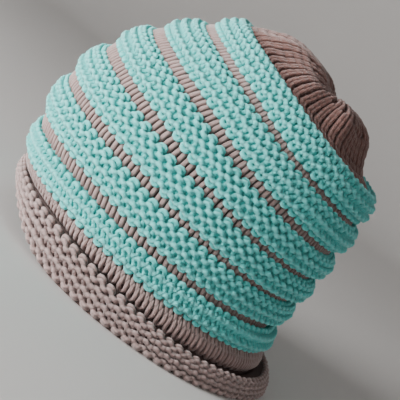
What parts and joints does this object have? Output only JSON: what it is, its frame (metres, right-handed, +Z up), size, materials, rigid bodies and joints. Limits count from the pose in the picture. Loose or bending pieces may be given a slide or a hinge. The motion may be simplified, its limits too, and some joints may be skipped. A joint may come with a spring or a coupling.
{
  "type": "knitted welted cap",
  "caption": "Soft knitted cap with a flared brim, rolled welts parted by sunken stripes, and a gathered crown, standing on its rim.",
  "frame": {"origin": "on the surface that the rim stands on, under the middle of the cap's box", "axes": "+Z up from the rim to the crown, -Y towards the forehead side, +X towards the wearer's left"},
  "size_m": [0.2036, 0.2284, 0.1903],
  "materials": {
    "grey_yarn": "matte",
    "turquoise_yarn": "matte"
  },
  "bodies": {
    "root": {"brim": "grey_yarn", "lower_band": "grey_yarn", "welt_1": "turquoise_yarn", "welt_2": "turquoise_yarn", "welt_3": "turquoise_yarn", "welt_4": "turquoise_yarn", "welt_5": "turquoise_yarn", "welt_6": "turquoise_yarn", "valley_1": "grey_yarn", "valley_2": "grey_yarn", "valley_3": "grey_yarn", "valley_4": "grey_yarn", "valley_5": "grey_yarn", "crown": "grey_yarn"}
  },
  "joints": []
}
